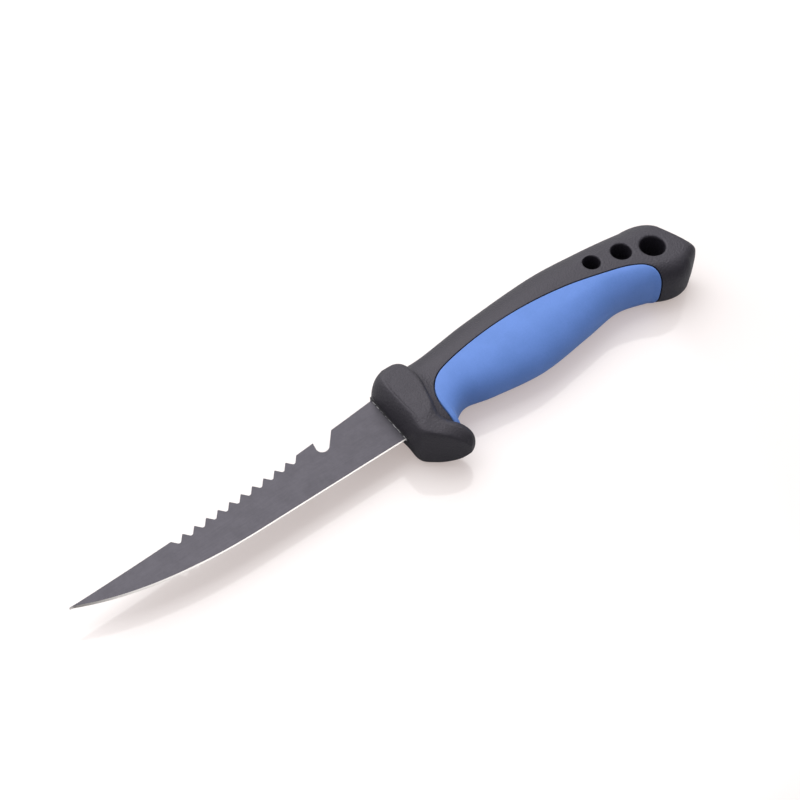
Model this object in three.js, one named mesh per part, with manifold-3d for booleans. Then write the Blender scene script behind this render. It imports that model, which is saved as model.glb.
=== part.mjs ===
// Fishing knife with a moulded two-colour handle, lying on its side.
// Lengths are millimetres. In the drawing frame x runs from the tip of the blade to the butt,
// y from the cutting edge to the spine and z across the thickness. The guard's mouth, where the
// blade comes out of it, is at x = 0, and the knife is alike on both sides of the plane z = 0.
import * as THREE from "three";
import { mergeVertices } from "three/addons/utils/BufferGeometryUtils.js";
import Module from "manifold-3d";

const { degToRad, lerp } = THREE.MathUtils;

// Fits
const FIT = 0.3; // gap between two pieces that are moulded or pushed together

// Blade
const BLADE_LENGTH = 114; // from the mouth to the tip
const SPINE_RISE = 8.7; // spine above the centre line at the mouth
const EDGE_DROP = 9.7; // cutting edge below the centre line at the mouth
const TIP_RISE = 1.9; // tip above the centre line
const SPINE_DIP = 1.2; // hollow of the spine below its chord
const EDGE_STRAIGHT = 55; // straight length of the cutting edge
const EDGE_TURN = 92; // where the straight edge's line meets the tip's tangent
const SPINE_THICKNESS = 2.0; // at the mouth
const TIP_THICKNESS = 1.2; // of the spine near the tip
const EDGE_THICKNESS = 0.36; // behind the sharpened bevel
const EDGE_FLAT = 0.1; // width of the edge itself
const BEVEL_ANGLE = 24; // degrees on each side

// Scaler teeth on the spine
const GULLET_COUNT = 11;
const GULLET_PITCH = 4.31;
const GULLET_FROM_MOUTH = 33.9; // to the gullet nearest the mouth
const GULLET_DEPTH = 2.15;
const GULLET_RADIUS = 0.7;
const GULLET_FLANK = 40; // degrees from square to the spine

// Line-cutting notch on the spine
const NOTCH_FROM_MOUTH = 25; // to the point of the hook
const NOTCH_DEPTH = 4.9;
const NOTCH_RADIUS = 2.2;
const NOTCH_UNDERCUT = 0.5; // how far the hook overhangs
const NOTCH_RAMP = 49; // degrees of the far side

// Tang
const RICASSO_DEPTH = 5; // full-height blade inside the guard
const TANG_TOP = 6;
const TANG_BOTTOM = -3.8;
const TANG_TAPER = 1.6; // lost on each side by the end
const TANG_TO_HOLE = 5; // from the end of the tang to the first lanyard hole
const PIN_RADIUS = 2;
const PIN_FRONT_FROM_MOUTH = 31;
const PIN_REAR_FROM_MOUTH = 62;
const PIN_RISE = -0.5; // pins' axes above the centre line

// Guard
const SIDE_REACH = 9.5; // from the mid plane to the flats that the knife lies on
const GUARD_DEPTH = 14.4; // front to back at mid height
const HUMP_RISE = 13.6; // top of the guard
const HUMP_BACK = 6.4; // top of the guard behind the mouth
const CHIN_DROP = 14; // foot of the guard's front face
const QUILLON_DROP = 25; // lowest point of the guard
const QUILLON_BACK = 13; // lowest point behind the mouth
const QUILLON_REACH = 16.3; // furthest back that the lower horn goes
const CHOIL_BACK = 11.2; // where the finger hollow bites into the guard's back
const CHOIL_DROP = 11; // depth of that bite below the centre line
const GUARD_SQUARENESS = 4.2; // power of the guard's rounded section at its back
const FACE_SQUARENESS = 6; // the same for its front
const CROWN_SQUARENESS = 3; // the same for the front of the hump
const HORN_SQUARENESS = 2.1; // the same for the back of the lower horn
const FACE_SLOPE = 2.6; // how far the front falls back from the mid plane to the flats
const FACE_LEAD = 0.6; // how far the front stands before the mouth's line

// Seal round the blade in the mouth
const SEAL_WALL = 0.6;
const SEAL_DEPTH = 1.4; // let into the guard
const SEAL_PROUD = FACE_LEAD + 0.3; // before the mouth's line

// Handle outline in side view
const HANDLE_LENGTH = 123.4; // from the mouth to the butt
const NECK_BACK = 23.5; // finger hollow behind the mouth
const NECK_TOP = 11.8;
const NECK_DROP = 9.9;
const SWELL_BACK = 52; // palm swell behind the mouth
const SWELL_DROP = 14.5;
const ARCH_BACK = 69; // highest point of the back behind the mouth
const ARCH_RISE = 16.2;
const WAIST_FROM_BUTT = 33.8; // little-finger hollow
const WAIST_TOP = 14.7;
const WAIST_DROP = 9.7;
const BEAK_FROM_BUTT = 14; // hooked lower corner of the butt
const BEAK_DROP = 16.8;
const BUTT_TOP_FROM_BUTT = 9.6; // upper corner of the butt
const BUTT_TOP_RISE = 12.9;
const BUTT_DROP = 8.4; // rearmost point below the centre line

// Handle thickness, from the mid plane
const NECK_HALF = 7.8;
const SWELL_HALF = SIDE_REACH - 0.3;
const BUTT_HALF = SIDE_REACH + 0.9; // before the flats are taken off
const BUTT_ROUND = 9; // length over which the butt rounds off
const HANDLE_SQUARENESS = 2.4; // power of the handle's rounded section
const BELLY_SQUARENESS = 2.1; // the same for the belly side at the palm
const BUTT_SQUARENESS = 3.2; // the same for the belly side at the butt

// Lanyard holes, from the smallest to the largest
const HOLES = [
  { fromButt: 35.5, rise: 4.9, radius: 2.95 },
  { fromButt: 24.4, rise: 2.5, radius: 3.45 },
  { fromButt: 14.3, rise: -2, radius: 4.3 },
];

// Tenon of the core in the guard
const TENON_FRONT = 7; // front of the tenon behind the mouth
const TENON_TOP = 8;
const TENON_DROP = 6;
const TENON_HALF = 4.5;

// Soft grip let into the core
const GRIP_THICKNESS = 2.2;
const GRIP_FRONT = 12.9; // front of the grip behind the mouth
const GRIP_FRONT_RISE = -0.1; // upper corner of its front end
const GRIP_RISE = 4.8; // top of the grip at its highest
const GRIP_TO_BUTT = 19.4; // from the grip's end to the butt
const GRIP_END_DROP = 10.5; // level of that end
const KEY_RADIUS = 1.7; // cross keys that tie the two sides of the grip together
const KEY_FRONT_BACK = 46;
const KEY_FRONT_DROP = 6;
const KEY_REAR_FROM_BUTT = 35.5;
const KEY_REAR_DROP = 4;

// Fineness of the rounded skins
const HANDLE_STATIONS = 38;
const HANDLE_RING = 32;
const GUARD_STATIONS = 24;
const GUARD_RING = 32;
const BLADE_STATIONS = 26;
const ROUND_SEGMENTS = 24;
const THROUGH = 60; // length of a cutter that passes right through

const wasm = await Module();
wasm.setup();

// A closed geometry as a solid that can be joined and cut.
function toSolid(geometry) {
  const bare = geometry.clone();
  bare.deleteAttribute("normal");
  bare.deleteAttribute("uv");
  const merged = mergeVertices(bare);
  const vertProperties = merged.getAttribute("position").array;
  const triVerts = new Uint32Array(merged.index.array);
  return new wasm.Manifold(new wasm.Mesh({ numProp: 3, vertProperties, triVerts }));
}

// A solid as a geometry for a mesh.
function toGeometry(solid) {
  const { vertProperties, triVerts } = solid.getMesh();
  const geometry = new THREE.BufferGeometry();
  geometry.setAttribute("position", new THREE.BufferAttribute(vertProperties, 3));
  geometry.setIndex(new THREE.BufferAttribute(triVerts, 1));
  geometry.computeVertexNormals();
  return geometry;
}

// A closed skin through rings of equal count, each turning right-handed about the way they run,
// with its ends drawn together to two points.
function skin(rings, firstPoint, lastPoint) {
  const count = rings[0].length;
  const points = [...rings.flat(), firstPoint, lastPoint];
  const first = points.length - 2;
  const last = points.length - 1;
  const index = [];
  for (let i = 0; i < rings.length - 1; i += 1) {
    for (let j = 0; j < count; j += 1) {
      const a = i * count + j;
      const b = i * count + ((j + 1) % count);
      index.push(a, b, a + count, b, b + count, a + count);
    }
  }
  const end = (rings.length - 1) * count;
  for (let j = 0; j < count; j += 1) {
    const next = (j + 1) % count;
    index.push(first, next, j);
    index.push(last, end + j, end + next);
  }
  return new THREE.BufferGeometry().setFromPoints(points).setIndex(index);
}

// A flat shape drawn in x and y as a slab centred on the mid plane.
function slab(shape, thickness) {
  const geometry = new THREE.ExtrudeGeometry(shape, {
    depth: thickness,
    bevelEnabled: false,
    curveSegments: ROUND_SEGMENTS / 2,
  });
  return geometry.translate(0, 0, -thickness / 2);
}

// A box by its lowest and highest corners.
function block(low, high) {
  const size = new THREE.Vector3().subVectors(high, low);
  const centre = new THREE.Vector3().addVectors(low, high).multiplyScalar(0.5);
  return new THREE.BoxGeometry(size.x, size.y, size.z).translate(centre.x, centre.y, centre.z);
}

// A round bar across the knife.
function crossBar(x, y, radius, length) {
  const bar = new THREE.CylinderGeometry(radius, radius, length, ROUND_SEGMENTS);
  return bar.rotateX(Math.PI / 2).translate(x, y, 0);
}

// Reads a line, given by points of rising `along`, at one place.
function readLine(points, along, across, place) {
  const next = points.findIndex((point) => point[along] > place);
  if (next === 0) return points[0][across];
  if (next < 0) return points[points.length - 1][across];
  const from = points[next - 1];
  const to = points[next];
  return lerp(from[across], to[across], (place - from[along]) / (to[along] - from[along]));
}

// A smooth curve through points given as [x, y].
function curveThrough(pairs, divisions) {
  const curve = new THREE.SplineCurve(pairs.map(([x, y]) => new THREE.Vector2(x, y)));
  return curve.getPoints(divisions);
}

// One turn of a rounded section: the shares of its two half widths at an angle.
function sectionShare(angle, power) {
  const round = (value) => Math.sign(value) * Math.abs(value) ** (2 / power);
  return { across: round(Math.cos(angle)), over: round(Math.sin(angle)) };
}

// Places from 0 to 1, closer together at both ends.
function easedShares(count) {
  return Array.from({ length: count }, (_, i) => (1 - Math.cos((Math.PI * (i + 0.5)) / count)) / 2);
}

// Outline of the blade
const spineCurve = new THREE.QuadraticBezierCurve(
  new THREE.Vector2(-BLADE_LENGTH, TIP_RISE),
  new THREE.Vector2(-BLADE_LENGTH / 2, (SPINE_RISE + TIP_RISE) / 2 - 2 * SPINE_DIP),
  new THREE.Vector2(0, SPINE_RISE),
);
const edgeCurve = new THREE.Path().moveTo(-BLADE_LENGTH, TIP_RISE);
edgeCurve.quadraticCurveTo(-EDGE_TURN, -EDGE_DROP, -EDGE_STRAIGHT, -EDGE_DROP).lineTo(0, -EDGE_DROP);
const spinePoints = spineCurve.getPoints(BLADE_STATIONS);
const edgePoints = edgeCurve.getPoints(BLADE_STATIONS);
const spineAt = (x) => readLine(spinePoints, "x", "y", x);
const edgeAt = (x) => readLine(edgePoints, "x", "y", x);

// Section of the blade: a wedge from the spine down to a sharpened bevel.
function bladeRing(x) {
  const top = spineAt(x);
  const bottom = edgeAt(x);
  const spineHalf = lerp(SPINE_THICKNESS, TIP_THICKNESS, Math.max(-x, 0) / BLADE_LENGTH) / 2;
  const grind = (bottom + EDGE_DROP) / (top + EDGE_DROP);
  const shoulderHalf = lerp(EDGE_THICKNESS / 2, spineHalf, grind);
  const bevel = Math.min(shoulderHalf / Math.tan(degToRad(BEVEL_ANGLE)), (top - bottom) / 2);
  const sides = [
    [top, spineHalf],
    [bottom + bevel, shoulderHalf],
    [bottom, EDGE_FLAT / 2],
  ];
  const near = sides.map(([y, z]) => new THREE.Vector3(x, y, z));
  const far = sides.map(([y, z]) => new THREE.Vector3(x, y, -z)).reverse();
  return [...near, ...far];
}

// Cutter for one gullet between two teeth, with its mouth at the origin.
function gulletShape() {
  const flank = degToRad(GULLET_FLANK);
  const centre = GULLET_RADIUS - GULLET_DEPTH;
  const top = GULLET_DEPTH;
  const tangent = centre - GULLET_RADIUS * Math.sin(flank);
  const halfMouth = GULLET_RADIUS * Math.cos(flank) + Math.tan(flank) * (top - tangent);
  const shape = new THREE.Shape().moveTo(-halfMouth, top);
  shape.lineTo(-GULLET_RADIUS * Math.cos(flank), tangent);
  shape.absarc(0, centre, GULLET_RADIUS, Math.PI + flank, 2 * Math.PI - flank, false);
  return shape.lineTo(halfMouth, top);
}

// Cutter for the line notch, with the point of its hook at the origin.
function notchShape() {
  const ramp = degToRad(NOTCH_RAMP);
  const centre = { x: NOTCH_RADIUS - NOTCH_UNDERCUT, y: NOTCH_RADIUS - NOTCH_DEPTH };
  const top = NOTCH_DEPTH;
  const leave = ramp - Math.PI / 2;
  const leaveX = centre.x + NOTCH_RADIUS * Math.cos(leave);
  const leaveY = centre.y + NOTCH_RADIUS * Math.sin(leave);
  const shape = new THREE.Shape().moveTo(0, top).lineTo(0, 0);
  shape.absarc(centre.x, centre.y, NOTCH_RADIUS, Math.PI, 2 * Math.PI + leave, false);
  return shape.lineTo(leaveX + (top - leaveY) / Math.tan(ramp), top);
}

// End of the tang, short of the first lanyard hole
const holeX = (hole) => HANDLE_LENGTH - hole.fromButt;
const tangEnd = holeX(HOLES[0]) - HOLES[0].radius - TANG_TO_HOLE;

// Tang in side view, grown on all sides by a gap.
function tangShape(gap) {
  const shape = new THREE.Shape();
  shape.moveTo(0, TANG_BOTTOM - gap);
  shape.lineTo(tangEnd + gap, TANG_BOTTOM + TANG_TAPER - gap);
  shape.lineTo(tangEnd + gap, TANG_TOP - TANG_TAPER + gap);
  return shape.lineTo(0, TANG_TOP + gap);
}

const pinPlaces = [PIN_FRONT_FROM_MOUTH, PIN_REAR_FROM_MOUTH];

function makeBlade() {
  const stations = easedShares(BLADE_STATIONS).map((share) => -BLADE_LENGTH * (1 - share));
  const rings = [...stations, RICASSO_DEPTH].map(bladeRing);
  const tip = new THREE.Vector3(-BLADE_LENGTH, TIP_RISE, 0);
  const heel = new THREE.Vector3(RICASSO_DEPTH, 0, 0);
  let blade = toSolid(skin(rings, tip, heel)).add(toSolid(slab(tangShape(0), SPINE_THICKNESS)));
  for (let i = 0; i < GULLET_COUNT; i += 1) {
    const x = -GULLET_FROM_MOUTH - i * GULLET_PITCH;
    blade = blade.subtract(toSolid(slab(gulletShape(), THROUGH).translate(x, spineAt(x), 0)));
  }
  const hook = -NOTCH_FROM_MOUTH;
  blade = blade.subtract(toSolid(slab(notchShape(), THROUGH).translate(hook, spineAt(hook), 0)));
  for (const x of pinPlaces) {
    blade = blade.subtract(toSolid(crossBar(x, PIN_RISE, PIN_RADIUS + FIT, THROUGH)));
  }
  return blade;
}

// Front and back of the guard in side view, from its lowest point to its top
const guardFront = curveThrough(
  [
    [QUILLON_BACK, -QUILLON_DROP],
    [QUILLON_BACK - 3, -QUILLON_DROP + 2],
    [4.4 - FACE_LEAD, -CHIN_DROP - 4],
    [0.6 - FACE_LEAD, -CHIN_DROP],
    [-FACE_LEAD, -CHIN_DROP / 2],
    [-FACE_LEAD, SPINE_RISE / 2],
    [0.6 - FACE_LEAD, SPINE_RISE + 0.6],
    [HUMP_BACK - 4, HUMP_RISE - 1.6],
    [HUMP_BACK, HUMP_RISE],
  ],
  96,
);
const guardBack = curveThrough(
  [
    [QUILLON_BACK, -QUILLON_DROP],
    [QUILLON_REACH - 0.9, -QUILLON_DROP + 1.2],
    [QUILLON_REACH, -QUILLON_DROP + 3.6],
    [QUILLON_REACH - 1, -CHOIL_DROP - 7],
    [CHOIL_BACK + 1.5, -CHOIL_DROP - 3.6],
    [CHOIL_BACK, -CHOIL_DROP],
    [GUARD_DEPTH - 1.8, -5],
    [GUARD_DEPTH - 0.2, 1],
    [GUARD_DEPTH, 7],
    [GUARD_DEPTH - 2.2, HUMP_RISE - 2.2],
    [HUMP_BACK, HUMP_RISE],
  ],
  96,
);
const guardHalf = curveThrough(
  [
    [1.5, -QUILLON_DROP],
    [5, -QUILLON_DROP + 2],
    [7.4, -QUILLON_DROP + 5.5],
    [SIDE_REACH - 0.9, -CHIN_DROP - 0.5],
    [SIDE_REACH + 0.5, -CHIN_DROP / 2],
    [SIDE_REACH + 0.5, SPINE_RISE / 2],
    [SIDE_REACH - 1, SPINE_RISE + 2.5],
    [1.5, HUMP_RISE],
  ],
  96,
);
const guardHeights = easedShares(GUARD_STATIONS).map((share) => lerp(-QUILLON_DROP, HUMP_RISE, share));

// Section of the guard at one height: a rounded block with its sides taken off flat.
function guardRing(y) {
  const front = readLine(guardFront, "y", "x", y);
  const back = readLine(guardBack, "y", "x", y);
  const half = readLine(guardHalf, "y", "x", y);
  const rise = THREE.MathUtils.smoothstep(y, -CHIN_DROP - 2, -CHIN_DROP / 2);
  const backPower = lerp(HORN_SQUARENESS, GUARD_SQUARENESS, rise);
  const crown = THREE.MathUtils.smoothstep(y, SPINE_RISE - 3, HUMP_RISE);
  const facePower = lerp(FACE_SQUARENESS, CROWN_SQUARENESS, crown);
  const slope = FACE_SLOPE * THREE.MathUtils.smoothstep(y, -QUILLON_DROP + 4, -CHIN_DROP + 6);
  return Array.from({ length: GUARD_RING }, (_, j) => {
    const power = j < GUARD_RING / 2 ? backPower : facePower;
    const share = sectionShare((2 * Math.PI * j) / GUARD_RING, power);
    const z = THREE.MathUtils.clamp(half * share.across, -SIDE_REACH, SIDE_REACH);
    const ahead = THREE.MathUtils.clamp(-share.over / 0.7, 0, 1);
    const fallback = slope * Math.pow(Math.abs(z) / SIDE_REACH, 2.4) * ahead;
    return new THREE.Vector3((front + back) / 2 + ((back - front) / 2) * share.over + fallback, y, z);
  });
}

// Space behind the guard, moved back by a gap.
function behindGuard(gap) {
  const backX = (y) => readLine(guardBack, "y", "x", y) + gap;
  const shape = new THREE.Shape(guardHeights.map((y) => new THREE.Vector2(backX(y), y)));
  shape.lineTo(HUMP_BACK + gap, THROUGH);
  shape.lineTo(HANDLE_LENGTH * 2, THROUGH);
  shape.lineTo(HANDLE_LENGTH * 2, -THROUGH);
  shape.lineTo(QUILLON_BACK + gap, -THROUGH);
  return toSolid(slab(shape, THROUGH));
}

// Space of the tenon, grown by a gap at its front and sides.
function tenonBlock(gap) {
  const low = new THREE.Vector3(TENON_FRONT - gap, -TENON_DROP - gap, -TENON_HALF - gap);
  const high = new THREE.Vector3(QUILLON_REACH, TENON_TOP + gap, TENON_HALF + gap);
  return toSolid(block(low, high));
}

// Space of the blade in the mouth, grown by a wall all round.
function mouthBlock(fromX, toX, wall) {
  const half = SPINE_THICKNESS / 2 + wall;
  const low = new THREE.Vector3(fromX, -EDGE_DROP - wall, -half);
  const high = new THREE.Vector3(toX, SPINE_RISE + wall, half);
  return toSolid(block(low, high));
}

function makeGuard() {
  const foot = new THREE.Vector3(QUILLON_BACK, -QUILLON_DROP, 0);
  const top = new THREE.Vector3(HUMP_BACK, HUMP_RISE, 0);
  return toSolid(skin(guardHeights.map(guardRing), foot, top))
    .subtract(mouthBlock(-SEAL_PROUD, TENON_FRONT, FIT))
    .subtract(mouthBlock(-SEAL_DEPTH, SEAL_DEPTH + FIT, SEAL_WALL + 2 * FIT))
    .subtract(tenonBlock(FIT));
}

function makeSeal() {
  return mouthBlock(-SEAL_PROUD, SEAL_DEPTH, SEAL_WALL + FIT).subtract(
    mouthBlock(-SEAL_DEPTH, 2 * SEAL_DEPTH, FIT),
  );
}

// Outline of the handle in side view, from inside the guard to the butt
const handleStart = CHOIL_BACK - 2;
const waistX = HANDLE_LENGTH - WAIST_FROM_BUTT;
const beakX = HANDLE_LENGTH - BEAK_FROM_BUTT;
const buttTopX = HANDLE_LENGTH - BUTT_TOP_FROM_BUTT;
const vector2 = ([x, y]) => new THREE.Vector2(x, y);
const backLine = new THREE.Path().moveTo(handleStart, NECK_TOP + 0.5);
backLine
  .splineThru(
    [
      [NECK_BACK - 3, NECK_TOP],
      [(NECK_BACK + ARCH_BACK) / 2 - 6, ARCH_RISE - 1.9],
      [ARCH_BACK, ARCH_RISE],
      [waistX, WAIST_TOP],
      [buttTopX - 7.6, BUTT_TOP_RISE - 0.15],
    ].map(vector2),
  )
  .quadraticCurveTo(buttTopX, BUTT_TOP_RISE, buttTopX + 2.7, BUTT_TOP_RISE - 4)
  .lineTo(HANDLE_LENGTH - 2.9, -BUTT_DROP + 4.6)
  .quadraticCurveTo(HANDLE_LENGTH - 0.3, -BUTT_DROP + 0.6, HANDLE_LENGTH, -BUTT_DROP);
const bellyLine = new THREE.Path().moveTo(handleStart, -CHOIL_DROP - 6.4);
bellyLine
  .lineTo(QUILLON_REACH - 1.6, -CHOIL_DROP - 6)
  .splineThru(
    [
      [QUILLON_REACH + 0.6, -NECK_DROP - 3],
      [NECK_BACK, -NECK_DROP],
      [(NECK_BACK + SWELL_BACK) / 2 - 4, -(NECK_DROP + SWELL_DROP) / 2],
      [SWELL_BACK, -SWELL_DROP],
      [(SWELL_BACK + waistX) / 2 + 2, -(SWELL_DROP + WAIST_DROP) / 2],
      [waistX, -WAIST_DROP],
      [beakX - 7.5, -BEAK_DROP + 4.8],
    ].map(vector2),
  )
  .quadraticCurveTo(beakX, -BEAK_DROP - 0.6, beakX + 6.2, -BEAK_DROP + 2)
  .lineTo(HANDLE_LENGTH - 3.2, -BUTT_DROP - 3.4)
  .quadraticCurveTo(HANDLE_LENGTH, -BUTT_DROP - 1.2, HANDLE_LENGTH, -BUTT_DROP);
const planLine = new THREE.Path().moveTo(handleStart, NECK_HALF - 0.4);
planLine
  .splineThru(
    [
      [NECK_BACK, NECK_HALF],
      [SWELL_BACK, SWELL_HALF],
      [waistX, BUTT_HALF - 0.4],
      [HANDLE_LENGTH - BUTT_ROUND, BUTT_HALF],
    ].map(vector2),
  )
  .quadraticCurveTo(HANDLE_LENGTH - 1.5, BUTT_HALF, HANDLE_LENGTH, 0.29 * BUTT_HALF);
const backPoints = backLine.getPoints(12);
const bellyPoints = bellyLine.getPoints(12);
const planPoints = planLine.getPoints(12);

// Section of the handle, drawn in on all sides by an inset.
function handleRing(x, inset) {
  const top = readLine(backPoints, "x", "y", x) - inset;
  const bottom = readLine(bellyPoints, "x", "y", x) + inset;
  const half = readLine(planPoints, "x", "y", x) - inset;
  const flat = SIDE_REACH - inset;
  const rear = THREE.MathUtils.smoothstep(x, waistX - 8, HANDLE_LENGTH - BUTT_ROUND);
  const palm = THREE.MathUtils.smoothstep(x, NECK_BACK + 1.5, SWELL_BACK - 2);
  const bellyPower = lerp(lerp(HANDLE_SQUARENESS, BELLY_SQUARENESS, palm), BUTT_SQUARENESS, rear);
  return Array.from({ length: HANDLE_RING }, (_, j) => {
    const angle = (2 * Math.PI * j) / HANDLE_RING;
    const share = sectionShare(angle, Math.cos(angle) < 0 ? bellyPower : HANDLE_SQUARENESS);
    const y = (top + bottom) / 2 + ((top - bottom) / 2) * share.across;
    return new THREE.Vector3(x, y, THREE.MathUtils.clamp(half * share.over, -flat, flat));
  });
}

// The whole moulded handle as one form, drawn in by an inset.
function handleForm(inset) {
  const endX = HANDLE_LENGTH - inset * 2;
  const rings = easedShares(HANDLE_STATIONS).map((share) =>
    handleRing(lerp(handleStart, endX, share), inset),
  );
  const front = new THREE.Vector3(handleStart, 0, 0);
  const butt = new THREE.Vector3(endX, -BUTT_DROP, 0);
  return toSolid(skin(rings, front, butt));
}

// Side view of the soft grip; below the belly it runs on past the handle.
function gripSlab() {
  const endX = HANDLE_LENGTH - GRIP_TO_BUTT;
  const below = -SWELL_DROP - BEAK_DROP;
  const archX = (GRIP_FRONT + endX) / 2 - 3;
  const line = curveThrough(
    [
      [GRIP_FRONT, -CHOIL_DROP],
      [GRIP_FRONT + 0.9, GRIP_FRONT_RISE - 5],
      [GRIP_FRONT + 2.1, GRIP_FRONT_RISE - 2.6],
      [GRIP_FRONT + 5, GRIP_FRONT_RISE],
      [lerp(GRIP_FRONT, archX, 0.5), GRIP_RISE - 1],
      [archX, GRIP_RISE],
      [lerp(archX, endX, 0.5), GRIP_RISE - 3.2],
      [endX - 9, -GRIP_END_DROP * 0.27],
      [endX - 2.4, -GRIP_END_DROP * 0.62],
      [endX, -GRIP_END_DROP],
      [endX + 0.1, -GRIP_END_DROP - 5],
    ],
    72,
  );
  const shape = new THREE.Shape([new THREE.Vector2(GRIP_FRONT, below), ...line]);
  shape.lineTo(endX + 0.1, below);
  return shape;
}

// Cross keys of the grip through the core.
function gripKeys(gap) {
  const front = crossBar(KEY_FRONT_BACK, -KEY_FRONT_DROP, KEY_RADIUS + gap, 2 * SWELL_HALF - 3.6);
  const rearX = HANDLE_LENGTH - KEY_REAR_FROM_BUTT;
  const rear = crossBar(rearX, -KEY_REAR_DROP, KEY_RADIUS + gap, 2 * SWELL_HALF - 3.6);
  return toSolid(front).add(toSolid(rear));
}

const gripSpace = toSolid(slab(gripSlab(), THROUGH));
const handleSpace = handleForm(0).intersect(behindGuard(FIT));

function makeCore() {
  const recess = gripSpace.subtract(handleForm(GRIP_THICKNESS));
  let core = handleSpace.subtract(recess).add(tenonBlock(0).intersect(handleForm(0)));
  core = core.subtract(toSolid(slab(tangShape(FIT), SPINE_THICKNESS + 2 * FIT)));
  core = core.subtract(gripKeys(FIT));
  for (const x of pinPlaces) {
    core = core.subtract(toSolid(crossBar(x, PIN_RISE, PIN_RADIUS + FIT, THROUGH)));
  }
  for (const hole of HOLES) {
    core = core.subtract(toSolid(crossBar(holeX(hole), hole.rise, hole.radius, THROUGH)));
  }
  return core;
}

function makeGrip() {
  const shell = handleSpace.intersect(gripSpace).subtract(handleForm(GRIP_THICKNESS - FIT));
  return shell.add(gripKeys(0));
}

// Finishes
const gunmetal = new THREE.MeshStandardMaterial({ color: 0x6c6a72, roughness: 0.4, metalness: 0.9 });
const steel = new THREE.MeshStandardMaterial({ color: 0xb8b8bc, roughness: 0.35, metalness: 1 });
const blackPlastic = new THREE.MeshStandardMaterial({ color: 0x3a393d, roughness: 0.6, metalness: 0 });
const blackRubber = new THREE.MeshStandardMaterial({ color: 0x333236, roughness: 0.7, metalness: 0 });
const blueRubber = new THREE.MeshStandardMaterial({ color: 0x5a86d6, roughness: 0.7, metalness: 0 });

function piece(name, geometry, material) {
  const mesh = new THREE.Mesh(geometry, material);
  mesh.name = name;
  return mesh;
}

// A tang pin lies across the knife, its ends just under the grip.
function makePin(name, x) {
  const half = readLine(planPoints, "x", "y", x) - GRIP_THICKNESS - 2 * FIT;
  const bar = new THREE.CylinderGeometry(PIN_RADIUS, PIN_RADIUS, 2 * half, ROUND_SEGMENTS);
  const pin = piece(name, bar, steel);
  pin.rotation.x = Math.PI / 2;
  pin.position.set(x, PIN_RISE, 0);
  return pin;
}

const knife = new THREE.Group();
knife.add(piece("blade", toGeometry(makeBlade()), gunmetal));
knife.add(makePin("tang_pin_front", PIN_FRONT_FROM_MOUTH));
knife.add(makePin("tang_pin_rear", PIN_REAR_FROM_MOUTH));
knife.add(piece("mouth_seal", toGeometry(makeSeal()), blackRubber));
knife.add(piece("guard", toGeometry(makeGuard()), blackRubber));
knife.add(piece("handle_core", toGeometry(makeCore()), blackPlastic));
knife.add(piece("grip", toGeometry(makeGrip()), blueRubber));

// The knife lies on its side, centred over the origin.
const box = new THREE.Box3().setFromObject(knife);
const centre = box.getCenter(new THREE.Vector3());
knife.position.set(-centre.x, -centre.y, -box.min.z);

const part = new THREE.Group();
part.add(knife);

export default part;
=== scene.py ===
import math

import bmesh
import bpy
import numpy as np
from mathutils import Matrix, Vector


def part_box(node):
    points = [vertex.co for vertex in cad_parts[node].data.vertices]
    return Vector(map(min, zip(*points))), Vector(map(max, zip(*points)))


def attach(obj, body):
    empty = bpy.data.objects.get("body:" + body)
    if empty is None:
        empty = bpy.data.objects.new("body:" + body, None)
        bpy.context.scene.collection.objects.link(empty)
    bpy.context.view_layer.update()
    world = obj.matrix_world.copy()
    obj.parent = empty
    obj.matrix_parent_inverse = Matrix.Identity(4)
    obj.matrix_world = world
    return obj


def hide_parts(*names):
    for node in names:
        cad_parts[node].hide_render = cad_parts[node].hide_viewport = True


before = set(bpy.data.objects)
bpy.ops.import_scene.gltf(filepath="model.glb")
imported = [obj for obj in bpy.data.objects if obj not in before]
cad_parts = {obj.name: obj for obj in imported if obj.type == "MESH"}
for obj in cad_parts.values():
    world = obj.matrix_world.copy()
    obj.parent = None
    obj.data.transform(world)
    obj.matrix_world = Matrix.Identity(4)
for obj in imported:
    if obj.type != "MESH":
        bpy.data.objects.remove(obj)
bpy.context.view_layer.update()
scene = bpy.context.scene
scene.view_settings.view_transform = "Standard"

# Sizes are millimetres in the drawing frame of the solids: x runs from the tip to the butt with the
# guard's mouth at 0, y from the cutting edge to the spine, and z across the thickness.
MM = 0.001
FIT = 0.3

# Blade
BLADE_LENGTH = 114.0
SPINE_RISE = 8.7
EDGE_DROP = 9.7
TIP_RISE = 1.9
SPINE_DIP = 1.2
SPINE_BEND = (SPINE_RISE + TIP_RISE) / 2 - 2 * SPINE_DIP
EDGE_STRAIGHT = 55.0
EDGE_TURN = 92.0
SPINE_THICKNESS = 2.0
TIP_THICKNESS = 1.2
EDGE_THICKNESS = 0.36
EDGE_FLAT = 0.1
BEVEL_ANGLE = 24.0
SPINE_CHAMFER = 0.18
BEVEL_WIDEST = 0.52
RICASSO_DEPTH = 5.0
BLADE_STATIONS = 240
BLADE_CUT = 3.0

# Scaler teeth and line notch
GULLET_COUNT = 11
GULLET_PITCH = 4.31
GULLET_FROM_MOUTH = 33.9
GULLET_DEPTH = 2.15
GULLET_RADIUS = 0.7
GULLET_FLANK = 40.0
NOTCH_FROM_MOUTH = 25.0
NOTCH_DEPTH = 4.9
NOTCH_RADIUS = 2.2
NOTCH_UNDERCUT = 0.5
NOTCH_RAMP = 49.0

# Tang and pins
TANG_TOP = 6.0
TANG_BOTTOM = -3.8
TANG_TAPER = 1.6
TANG_END = 79.95
TANG_HALF = SPINE_THICKNESS / 2
TANG_CUT = 5.0
PINS = ((31.0, -0.5), (62.0, -0.5))
PIN_RADIUS = 2.0

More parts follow.
